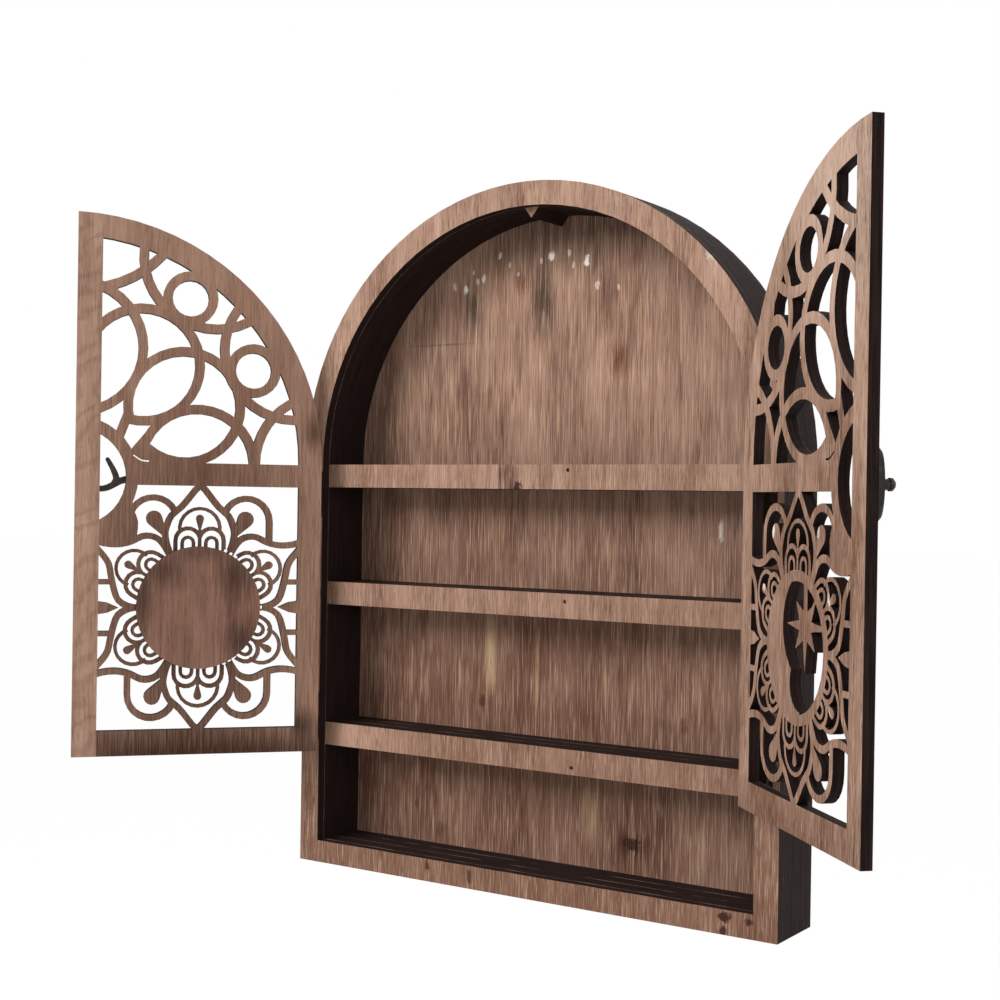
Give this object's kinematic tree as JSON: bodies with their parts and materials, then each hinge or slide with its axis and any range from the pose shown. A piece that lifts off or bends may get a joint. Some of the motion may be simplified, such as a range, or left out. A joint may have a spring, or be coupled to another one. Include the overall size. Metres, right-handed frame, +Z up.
{
  "type": "arched wall display cabinet",
  "caption": "Shallow arched wall cabinet with shelves and an open bottom bay, closed by hinged fretwork doors with a lattice arch, a mandala panel and a pivoting hook latch.",
  "frame": {"origin": "middle of the back panel's back face, on the line of the two hanging slots", "axes": "+X to the right for a viewer in front, +Y into the wall, +Z up; the front faces -Y"},
  "size_m": [0.4906, 0.1587, 0.4],
  "materials": {
    "stained_wood": "stained plywood faces, burnt laser-cut edges, matt",
    "panel_wood": "darker stained thin panel, matt",
    "dark_bronze": "dark antique patina, satin"
  },
  "bodies": {
    "carcass": {"front_frame": "stained_wood", "shelf_layer_front": "stained_wood", "shelf_layer_middle": "stained_wood", "shelf_layer_rear": "stained_wood", "back_panel": "panel_wood", "left_low_hinge_frame_leaf": "dark_bronze", "left_low_hinge_pin": "dark_bronze", "left_high_hinge_frame_leaf": "dark_bronze", "left_high_hinge_pin": "dark_bronze", "right_low_hinge_frame_leaf": "dark_bronze", "right_low_hinge_pin": "dark_bronze", "right_high_hinge_frame_leaf": "dark_bronze", "right_high_hinge_pin": "dark_bronze"},
    "left_leaf": {"left_door": "stained_wood", "sun_disc": "panel_wood", "left_low_hinge_door_leaf": "dark_bronze", "left_high_hinge_door_leaf": "dark_bronze", "latch_pivot_plate": "dark_bronze", "latch_rivet": "dark_bronze"},
    "right_leaf": {"right_door": "stained_wood", "right_low_hinge_door_leaf": "dark_bronze", "right_high_hinge_door_leaf": "dark_bronze", "latch_stud_plate": "dark_bronze", "latch_stud": "dark_bronze"},
    "hook": {"latch_hook": "dark_bronze"}
  },
  "joints": [
    {"name": "left_door_hinge", "type": "hinge", "parent": "carcass", "child": "left_leaf", "pos_m": [-0.1445, -0.0445, 0], "axis": [0, 0, -1], "range_deg": [-130.8, 44]},
    {"name": "right_door_hinge", "type": "hinge", "parent": "carcass", "child": "right_leaf", "pos_m": [0.1445, -0.0445, 0], "axis": [0, 0, 1], "range_deg": [-135.8, 39]},
    {"name": "hook_pivot", "type": "hinge", "parent": "left_leaf", "child": "hook", "pos_m": [-0.23331, -0.15106, 0.0054], "axis": [-0.757, 0.6534, 0], "range_deg": [-178, 95]}
  ]
}
